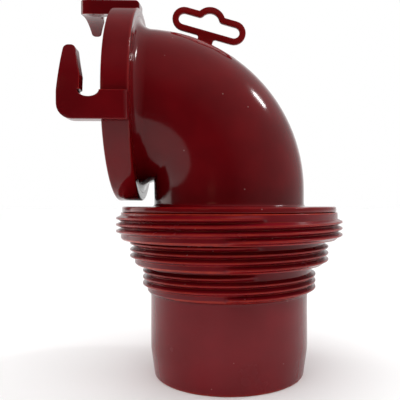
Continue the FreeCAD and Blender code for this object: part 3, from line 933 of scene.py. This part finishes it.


# %% [markdown]
# ### Moulded ABS
#
# ABS is a hard, glossy plastic. Its index of refraction is about 1.54, and a polished mould leaves it with
# a roughness near 0.2. Three things keep it from looking like a render of a plain red shape. The pigment is
# not quite even, so the colour drifts over a centimetre or so. The surface has a very shallow orange peel
# from the melt cooling on the mould. And a fitting that has lain in a bin has hair scratches and specks.
#
# The colour turns redder where the surface bends sharply: a painted glow for the light that thin edges
# let through. Hollows turn darker: painted shade where the surface curves in. Blender's own Pointiness
# left bright patches on threads as fine as these, so we measure the bend at each point ourselves and store
# it in the mesh: how far the edges that leave the point fall away from its normal, averaged with the
# point's neighbours.

# %% Measure how sharply the surface bends
FLAT = 0.5              # the bend of a flat surface


def read_vectors(source, name, count):
    """Vectors of a mesh, one in each row."""
    values = np.zeros(count * 3)
    source.foreach_get(name, values)
    return values.reshape(-1, 3)


def mark_bends(piece):
    """Store the bend at each point: FLAT where it is flat, more on an edge and less in a hollow."""
    mesh = piece.data
    count = len(mesh.vertices)
    places = read_vectors(mesh.vertices, "co", count)
    normals = read_vectors(mesh.vertex_normals, "vector", count)
    ends = np.zeros(len(mesh.edges) * 2, int)
    mesh.edges.foreach_get("vertices", ends)
    first, second = ends.reshape(-1, 2).T
    step = places[second] - places[first]
    step /= np.linalg.norm(step, axis=1, keepdims=True)
    edges_here = np.bincount(ends, minlength=count)
    rise = np.bincount(first, (normals[first] * step).sum(1), count)
    rise -= np.bincount(second, (normals[second] * step).sum(1), count)
    bends = np.arccos(np.clip(rise / edges_here, -1, 1)) / math.pi
    around = np.bincount(first, bends[second], count) + np.bincount(second, bends[first], count)
    bends = (bends + around) / (edges_here + 1)
    stored = mesh.attributes.new("bend", "FLOAT", "POINT")
    stored.data.foreach_set("value", bends)
    print("%s: bends from %.2f to %.2f" % (piece.name, bends.min(), bends.max()))


for piece in (elbow, bayonet_ring, adapter, tab):
    mark_bends(piece)


# %% [markdown]
# The recipe takes the sizes of its patterns in millimetres. One number says how far sharp edges move
# towards the colour of the painted edge glow, and `sharp` how sharp a bend must be for all of that. The
# gloss level is under half of the usual 0.5, since at the full level the pale studio greyed the dark red.

# %% Sizes in the surface of moulded ABS
ABS_IOR = 1.54
ABS_GLOSS_LEVEL = 0.22
DRIFT_MM = 22
GLOW_PATCH_MM = 6
# size of the patches in which the painted edge glow is stronger and weaker
DUST_SPACING_MM = 7
HAZE_MM = 14
PEEL_MM = 2.5
PEEL_DEPTH_MM = 0.02
HAIR_SPACING_MM = 4
DUST_HEX = "#b08a86"


# %% The recipe for moulded ABS
def moulded_abs(
        name, body_hex, drift_hex, edge_glow_hex, hollow_shade_hex, edge_glow_amount, sharp, roughness, scratch_depth_mm):
    """Glossy moulded ABS: uneven pigment, orange peel, specks, hair scratches, painted edge glow and hollow
    shade.
    """
    material, tree, surface = new_material(name)
    place = add_node(tree, "ShaderNodeTexCoord", {}).outputs["Object"]

    pigment = add_node(tree, "ShaderNodeTexNoise", {
        "Vector": place, "Scale": per_metre(DRIFT_MM), "Detail": 3.0, "Roughness": 0.55})
    drift = add_node(tree, "ShaderNodeMapRange", {
        "Value": pigment.outputs["Fac"], "From Min": 0.35, "From Max": 0.65})
    colour = add_node(tree, "ShaderNodeMix", {
        0: drift.outputs["Result"], 6: linear(body_hex), 7: linear(drift_hex)}, data_type="RGBA")

    bent = add_node(tree, "ShaderNodeAttribute", {}, attribute_name="bend").outputs["Fac"]
    # sharp edges move towards a painted glow colour, in patches: it stands in for light through thin edges
    edge = add_node(tree, "ShaderNodeMapRange", {
        "Value": bent, "From Min": FLAT + sharp / 4, "From Max": FLAT + sharp, "To Max": edge_glow_amount})
    patchy = add_node(tree, "ShaderNodeTexNoise", {
        "Vector": place, "Scale": per_metre(GLOW_PATCH_MM), "Detail": 2.0})
    painted_edge_glow = add_node(tree, "ShaderNodeMath", {
        0: edge.outputs["Result"], 1: patchy.outputs["Fac"]}, operation="MULTIPLY")
    with_edge_glow = add_node(tree, "ShaderNodeMix", {
        0: painted_edge_glow.outputs["Value"], 6: colour.outputs[2], 7: linear(edge_glow_hex)}, data_type="RGBA")
    # hollows move towards a darker colour: painted shade where the surface curves in
    painted_hollow_shade = add_node(tree, "ShaderNodeMapRange", {
        "Value": bent, "From Min": FLAT - sharp, "From Max": FLAT - sharp / 5,
        "To Min": 0.5, "To Max": 0.0})
    shaded_hollows = add_node(tree, "ShaderNodeMix", {
        0: painted_hollow_shade.outputs["Result"], 6: with_edge_glow.outputs[2], 7: linear(hollow_shade_hex)}, data_type="RGBA")

    dust = add_node(tree, "ShaderNodeTexVoronoi", {
        "Vector": place, "Scale": per_metre(DUST_SPACING_MM), "Randomness": 1.0})
    speck = add_node(tree, "ShaderNodeMapRange", {
        "Value": dust.outputs["Distance"], "From Min": 0.035, "From Max": 0.05,
        "To Min": 0.55, "To Max": 0.0})
    speckled = add_node(tree, "ShaderNodeMix", {
        0: speck.outputs["Result"], 6: shaded_hollows.outputs[2], 7: linear(DUST_HEX)}, data_type="RGBA")
    tree.links.new(speckled.outputs[2], surface.inputs["Base Color"])

    haze = add_node(tree, "ShaderNodeTexNoise", {
        "Vector": place, "Scale": per_metre(HAZE_MM), "Detail": 4.0, "Roughness": 0.6})
    gloss = add_node(tree, "ShaderNodeMapRange", {
        "Value": haze.outputs["Fac"], "From Min": 0.3, "From Max": 0.7,
        "To Min": roughness * 0.8, "To Max": roughness * 1.3})
    tree.links.new(gloss.outputs["Result"], surface.inputs["Roughness"])

    peel = add_node(tree, "ShaderNodeTexNoise", {
        "Vector": place, "Scale": per_metre(PEEL_MM), "Detail": 2.0})
    stretched = add_node(tree, "ShaderNodeMapping", {
        "Vector": place, "Rotation": (0.5, 0.9, 0.3), "Scale": (1.0, 0.05, 1.0)})
    hair = add_node(tree, "ShaderNodeTexVoronoi", {
        "Vector": stretched.outputs["Vector"],
        "Scale": per_metre(HAIR_SPACING_MM)}, feature="DISTANCE_TO_EDGE")
    scratch = add_node(tree, "ShaderNodeMapRange", {
        "Value": hair.outputs["Distance"], "From Min": 0.0, "From Max": 0.02,
        "To Min": 1.0, "To Max": 0.0})
    thinned = add_node(tree, "ShaderNodeMapRange", {
        "Value": pigment.outputs["Fac"], "From Min": 0.5, "From Max": 0.62})
    sparse = add_node(tree, "ShaderNodeMath", {
        0: scratch.outputs["Result"], 1: thinned.outputs["Result"]}, operation="MULTIPLY")
    wave = add_node(tree, "ShaderNodeBump", {
        "Height": peel.outputs["Fac"], "Distance": PEEL_DEPTH_MM * MM, "Strength": 0.5})
    cut = add_node(tree, "ShaderNodeBump", {
        "Height": sparse.outputs["Value"], "Distance": scratch_depth_mm * MM, "Strength": 0.6,
        "Normal": wave.outputs["Normal"]}, invert=True)
    tree.links.new(cut.outputs["Normal"], surface.inputs["Normal"])

    surface.inputs["IOR"].default_value = ABS_IOR
    surface.inputs["Specular IOR Level"].default_value = ABS_GLOSS_LEVEL
    return material


# %% The red plastics of the fitting
# colours in order: body, drift, painted edge glow, painted shade in hollows
elbow_plastic = moulded_abs(
    "maroon_abs_polished_mould", "#6e060e", "#60040b", "#a81a0e", "#330206", 1.5, 0.07, 0.12, 0.02)
adapter_plastic = moulded_abs(
    "red_abs_satin_mould", "#760c17", "#6c0913", "#b42e10", "#480303", 1.5, 0.035, 0.22, 0.02)
# the tab's red is lighter than the elbow's: its own red with a painted glow for light through the thin tab
tab_plastic_painted_glow = moulded_abs(
    "red_abs_thin_painted_glow", "#86090c", "#7a070b", "#a01a12", "#4a0305", 1.0, 0.16, 0.2, 0.015)

# %% [markdown]
# ### Rubber and nylon
#
# The gasket and the seal ring are moulded nitrile rubber: almost black, with a soft grey bloom and a fine
# matt grain. The retaining ring is natural nylon, which is milky and a little waxy.

# %% Rubber and nylon
def soft_moulding(name, body_hex, bloom_hex, roughness, grain_mm, ior):
    """A matt moulding: a body colour under a patchy bloom, and a fine grain in the surface."""
    material, tree, surface = new_material(name)
    place = add_node(tree, "ShaderNodeTexCoord", {}).outputs["Object"]
    cloud = add_node(tree, "ShaderNodeTexNoise", {"Vector": place, "Scale": per_metre(9), "Detail": 5.0})
    bloom = add_node(tree, "ShaderNodeMapRange", {
        "Value": cloud.outputs["Fac"], "From Min": 0.42, "From Max": 0.7})
    colour = add_node(tree, "ShaderNodeMix", {
        0: bloom.outputs["Result"], 6: linear(body_hex), 7: linear(bloom_hex)}, data_type="RGBA")
    tree.links.new(colour.outputs[2], surface.inputs["Base Color"])
    rough = add_node(tree, "ShaderNodeMapRange", {
        "Value": cloud.outputs["Fac"], "To Min": roughness * 0.8, "To Max": roughness * 1.2})
    tree.links.new(rough.outputs["Result"], surface.inputs["Roughness"])
    grain = add_node(tree, "ShaderNodeTexNoise", {
        "Vector": place, "Scale": per_metre(grain_mm), "Detail": 3.0})
    bump = add_node(tree, "ShaderNodeBump", {
        "Height": grain.outputs["Fac"], "Distance": 0.03 * MM, "Strength": 0.5})
    tree.links.new(bump.outputs["Normal"], surface.inputs["Normal"])
    surface.inputs["IOR"].default_value = ior
    return material


rubber = soft_moulding("nitrile_rubber_moulded", "#17171a", "#2b2b2e", 0.62, 0.5, 1.52)
nylon = soft_moulding("natural_nylon_moulded", "#d9d2bf", "#c6bda6", 0.42, 0.8, 1.53)

# %% Give each piece its material
for piece, material in (
    (elbow, elbow_plastic),
    (bayonet_ring, elbow_plastic),
    (adapter, adapter_plastic),
    (tab, tab_plastic_painted_glow),
    (gasket, rubber),
    (frame["nodes"]["swivel_seal"], rubber),
    (frame["nodes"]["retaining_ring"], nylon),
):
    piece.data.materials.clear()
    piece.data.materials.append(material)
    print("%s: %s" % (piece.name, material.name))

# %% [markdown]
# ## The studio
#
# The fitting stands on a white floor. Glossy plastic shows its surroundings, so they are part of the
# light: brightest behind, fading to the right and above, and dark at the front and the left. The floor
# ends a little way in front of the fitting, so that the front stays dark in its reflections.

# %% A pale floor
FLOOR_FRONT = -0.3
bpy.ops.mesh.primitive_plane_add(size=8, location=(0, FLOOR_FRONT + 4, 0))
floor = bpy.context.object
floor.name = "studio_floor"
FIBRES_MM = 60
paper, paper_tree, paper_surface = new_material("white_paper_sweep")
fibres = add_node(paper_tree, "ShaderNodeTexNoise", {"Scale": per_metre(FIBRES_MM), "Detail": 2.0})
shade_of_white = add_node(paper_tree, "ShaderNodeMix", {
    0: fibres.outputs["Fac"], 6: linear("#f4f4f4"), 7: linear("#fbfbfb")}, data_type="RGBA")
paper_tree.links.new(shade_of_white.outputs[2], paper_surface.inputs["Base Color"])
paper_surface.inputs["Roughness"].default_value = 0.9
paper_surface.inputs["Specular IOR Level"].default_value = 0.1
floor.data.materials.append(paper)

# %% [markdown]
# The background is white, but a white room all round greyed the dark red. So the world answers in two
# ways: a ray straight from the camera sees white, and every other ray, such as a reflection, sees the
# dimmer room. The Light Path node tells them apart.

# %% Surroundings that are darker at the front
world = bpy.data.worlds.new("white_studio")
bpy.context.scene.world = world
world.use_nodes = True
sky = world.node_tree
direction = add_node(sky, "ShaderNodeTexCoord", {}).outputs["Generated"]
BRIGHT_SIDE = (0.75, 0.35, 0.35)
towards_light = add_node(sky, "ShaderNodeVectorMath", {
    0: direction, 1: BRIGHT_SIDE}, operation="DOT_PRODUCT")
room = add_node(sky, "ShaderNodeMapRange", {
    "Value": towards_light.outputs["Value"], "From Min": -0.3, "From Max": 0.9,
    "To Min": 0.07, "To Max": 0.62})
parts = add_node(sky, "ShaderNodeSeparateXYZ", {"Vector": direction})
behind = add_node(sky, "ShaderNodeMapRange", {
    "Value": parts.outputs["Y"], "From Min": 0.72, "From Max": 0.9}, interpolation_type="SMOOTHSTEP")
seen = add_node(sky, "ShaderNodeLightPath", {}).outputs["Is Camera Ray"]
white = add_node(sky, "ShaderNodeMath", {
    0: behind.outputs["Result"], 1: seen}, operation="MAXIMUM")
brightness = add_node(sky, "ShaderNodeMix", {
    0: white.outputs["Value"], 2: room.outputs["Result"], 3: 1.0}, data_type="FLOAT")
sky.links.new(brightness.outputs[0], sky.nodes["Background"].inputs["Strength"])
sky.nodes["Background"].inputs["Color"].default_value = linear("#ffffff")


# %% [markdown]
# One small bright lamp high on the right puts the hard highlight on the bend. A warm one at the front left
# and a large pale one on the left fill the shaded side. A wide sun from above gives the soft shadow. It is
# kept out of the reflections, which show only the room and the other lamps.

# %% Lamps
AIM = Vector((0, 0, 0.1))


def aimed(name, lamp, place):
    """Stand a lamp at a place, looking at the fitting."""
    holder = bpy.data.objects.new(name, lamp)
    holder.location = place
    holder.rotation_euler = (AIM - Vector(place)).to_track_quat("-Z", "Y").to_euler()
    bpy.context.collection.objects.link(holder)
    return holder


def softbox(name, place, width, height, brightness, colour="#ffffff"):
    """A rectangular studio lamp. Its power follows from its size and how bright its face is."""
    lamp = bpy.data.lights.new(name, "AREA")
    lamp.shape = "RECTANGLE"
    lamp.size = width
    lamp.size_y = height
    lamp.energy = brightness * math.pi * width * height
    lamp.color = linear(colour)[:3]
    return aimed(name, lamp, place)


softbox("highlight_lamp", (0.84, 0.18, 0.9), 0.1, 0.16, 42)
softbox("warm_window", (-0.44, -0.85, 0.29), 0.2, 0.34, 0.7, "#ffc4a0")
softbox("left_softbox", (-0.95, 0.35, 0.25), 0.5, 0.7, 2.2, "#fff0ec")

overhead = bpy.data.lights.new("overhead_light", "SUN")
overhead.energy = 2.45
overhead.angle = math.radians(80)
overhead_light = aimed("overhead_light", overhead, (-0.3, -0.5, 2.0))
overhead_light.visible_glossy = False

# %% [markdown]
# ## The camera
#
# The camera stands close, about 26 cm from the leg, and level with the rim disc. That short distance is why
# the tube looks larger at the top and the hooks spread towards the eye. It is turned a little to the right,
# and the picture is shifted a touch so that the fitting sits in the middle of it.

# %% Set the camera
camera_data = bpy.data.cameras.new("camera")
camera_data.sensor_width = 36
camera_data.lens = 45.1
camera_data.shift_x = -0.0633
camera_data.shift_y = 0.0075
camera = bpy.data.objects.new("camera", camera_data)
camera.location = (-0.0111, -0.2618, 0.0869)
camera.rotation_euler = (math.radians(90), 0, math.radians(-2))
bpy.context.collection.objects.link(camera)
scene = bpy.context.scene
scene.camera = camera
scene.view_settings.view_transform = "Standard"
